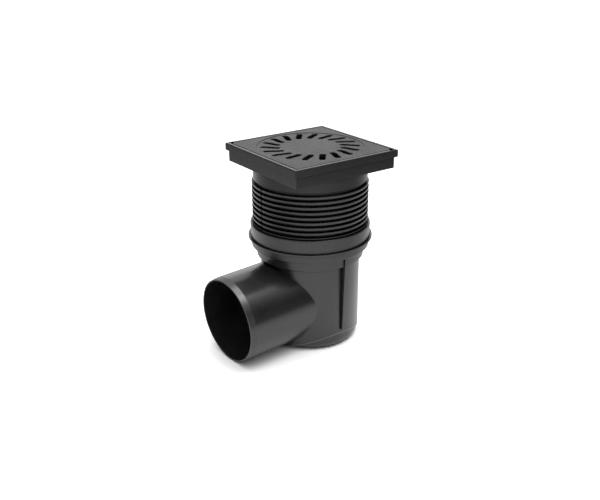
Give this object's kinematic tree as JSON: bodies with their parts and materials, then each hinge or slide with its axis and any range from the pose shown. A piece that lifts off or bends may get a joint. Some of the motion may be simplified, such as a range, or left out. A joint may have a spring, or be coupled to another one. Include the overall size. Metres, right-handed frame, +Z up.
{
  "type": "floor drain",
  "caption": "Plastic floor drain with a square slotted grate, a ribbed height-adjusting riser, a side outlet spigot and a lift-out water trap.",
  "frame": {"origin": "on the upright axis of the body, at the underside of its foot, where it stands on the floor", "axes": "+Z up through the grate; the outlet leaves along -X and falls 2 degrees towards its mouth; +Y completes the right-handed frame"},
  "size_m": [0.2162, 0.1614, 0.2555],
  "materials": {
    "body_plastic": "satin moulded black",
    "riser_plastic": "satin moulded black",
    "grate_plastic": "fine grained black",
    "trap_plastic": "plain moulded light grey",
    "seal_rubber": "dull rubber"
  },
  "bodies": {
    "drain": {"drain_body": "body_plastic", "trap_funnel": "trap_plastic", "trap_seal": "seal_rubber", "trap_cup": "trap_plastic"},
    "ring": {"riser_seal": "seal_rubber"},
    "riser": {"riser": "riser_plastic", "grate": "grate_plastic"}
  },
  "joints": [
    {"name": "riser_height", "type": "slide", "parent": "drain", "child": "ring", "axis": [0, 0, 1], "range_m": [-0.004, 0.006]},
    {"name": "riser_turn", "type": "hinge", "parent": "ring", "child": "riser", "pos_m": [0, 0, 0.15], "axis": [0, 0, 1], "continuous": true}
  ]
}
